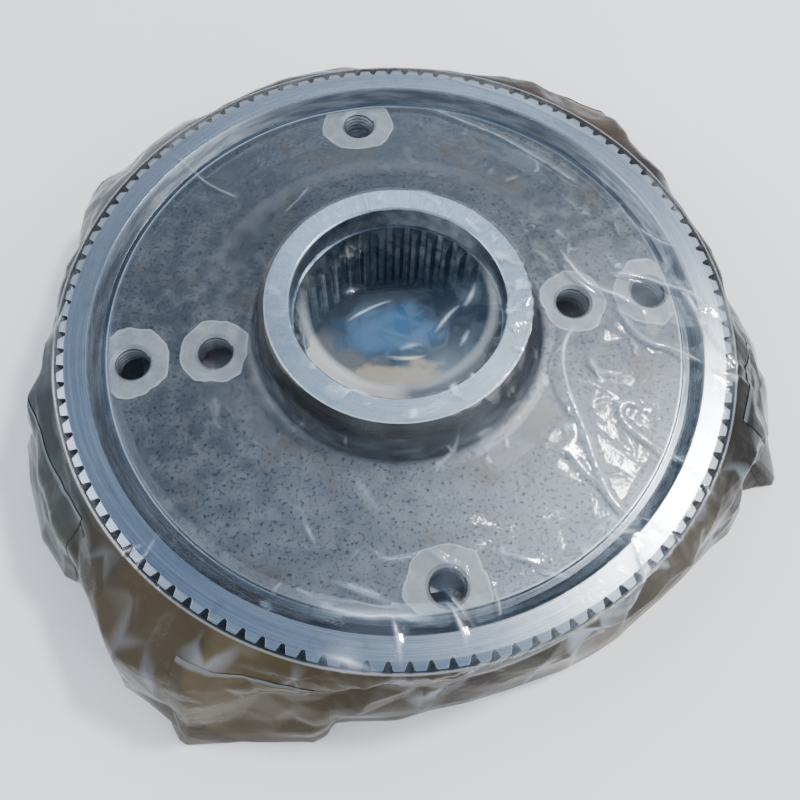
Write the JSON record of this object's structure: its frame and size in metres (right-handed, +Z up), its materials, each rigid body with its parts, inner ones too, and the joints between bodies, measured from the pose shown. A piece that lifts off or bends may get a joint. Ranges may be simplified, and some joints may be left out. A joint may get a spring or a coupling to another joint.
{
  "type": "planetary gear set",
  "caption": "Dished gear hub with a stub-toothed rim, tapped web holes and a splined boss, over a planetary stage of ring, sun, planets and carrier, under a clear poly bag.",
  "frame": {"origin": "on the shared gear axis, in the plane the carrier's lower plate rests on", "axes": "+Z up along the gear axis towards the boss's open end; +X through one pair of tapped holes; +Y through a single tapped hole"},
  "size_m": [0.5, 0.5, 0.1168],
  "materials": {
    "hub_steel": "dark forged web, machined rim and boss faces",
    "gear_steel": "hobbed and ground, lightly oiled",
    "plate_steel": "turned",
    "pin_steel": "ground",
    "spring_steel": "blued",
    "screw_steel": "black oxide",
    "bronze": "turned bronze",
    "film": "clear crumpled polythene"
  },
  "bodies": {
    "carrier": {"carrier_lower_plate": "plate_steel", "carrier_upper_plate": "plate_steel", "carrier_screws": "screw_steel", "planet_pin_1": "pin_steel", "planet_pin_2": "pin_steel", "planet_pin_3": "pin_steel", "planet_pin_4": "pin_steel", "pin_circlips": "spring_steel", "planet_washers_lower": "bronze", "planet_washers_upper": "bronze", "sun_washer_lower": "bronze", "sun_washer_upper": "bronze", "carrier_bushing": "bronze", "thrust_ring": "bronze", "thrust_ring_pins": "pin_steel"},
    "ring_hub": {"ring_gear_hub": "hub_steel", "ring_gear": "gear_steel", "ring_gear_snap_ring": "spring_steel", "ring_gear_dowels": "pin_steel"},
    "sun": {"sun_gear": "gear_steel", "sun_bushing": "bronze"},
    "planet_1": {"planet_gear_1": "gear_steel", "planet_bushing_1": "bronze"},
    "planet_2": {"planet_gear_2": "gear_steel", "planet_bushing_2": "bronze"},
    "planet_3": {"planet_gear_3": "gear_steel", "planet_bushing_3": "bronze"},
    "planet_4": {"planet_gear_4": "gear_steel", "planet_bushing_4": "bronze"},
    "bag": {"poly_bag": "film"}
  },
  "joints": [
    {"name": "ring_spin", "type": "hinge", "parent": "carrier", "child": "ring_hub", "pos_m": [0, 0, 0.06], "axis": [0, 0, 1], "continuous": true},
    {"name": "sun_spin", "type": "hinge", "parent": "carrier", "child": "sun", "pos_m": [0, 0, 0.03], "axis": [0, 0, 1], "continuous": true},
    {"name": "planet_1_spin", "type": "hinge", "parent": "carrier", "child": "planet_1", "pos_m": [0.09405, 0.09405, 0.03], "axis": [0, 0, 1], "continuous": true},
    {"name": "planet_2_spin", "type": "hinge", "parent": "carrier", "child": "planet_2", "pos_m": [-0.09405, 0.09405, 0.03], "axis": [0, 0, 1], "continuous": true},
    {"name": "planet_3_spin", "type": "hinge", "parent": "carrier", "child": "planet_3", "pos_m": [-0.09405, -0.09405, 0.03], "axis": [0, 0, 1], "continuous": true},
    {"name": "planet_4_spin", "type": "hinge", "parent": "carrier", "child": "planet_4", "pos_m": [0.09405, -0.09405, 0.03], "axis": [0, 0, 1], "continuous": true},
    {"name": "bag_lift", "type": "slide", "parent": "carrier", "child": "bag", "axis": [0, 0, 1], "range_m": [0, 0.25]}
  ],
  "couplings": [
    {"joint": "sun_spin", "follows": "ring_spin", "ratio": -1.7143},
    {"joint": "planet_1_spin", "follows": "ring_spin", "ratio": 4.8},
    {"joint": "planet_2_spin", "follows": "ring_spin", "ratio": 4.8},
    {"joint": "planet_3_spin", "follows": "ring_spin", "ratio": 4.8},
    {"joint": "planet_4_spin", "follows": "ring_spin", "ratio": 4.8}
  ]
}
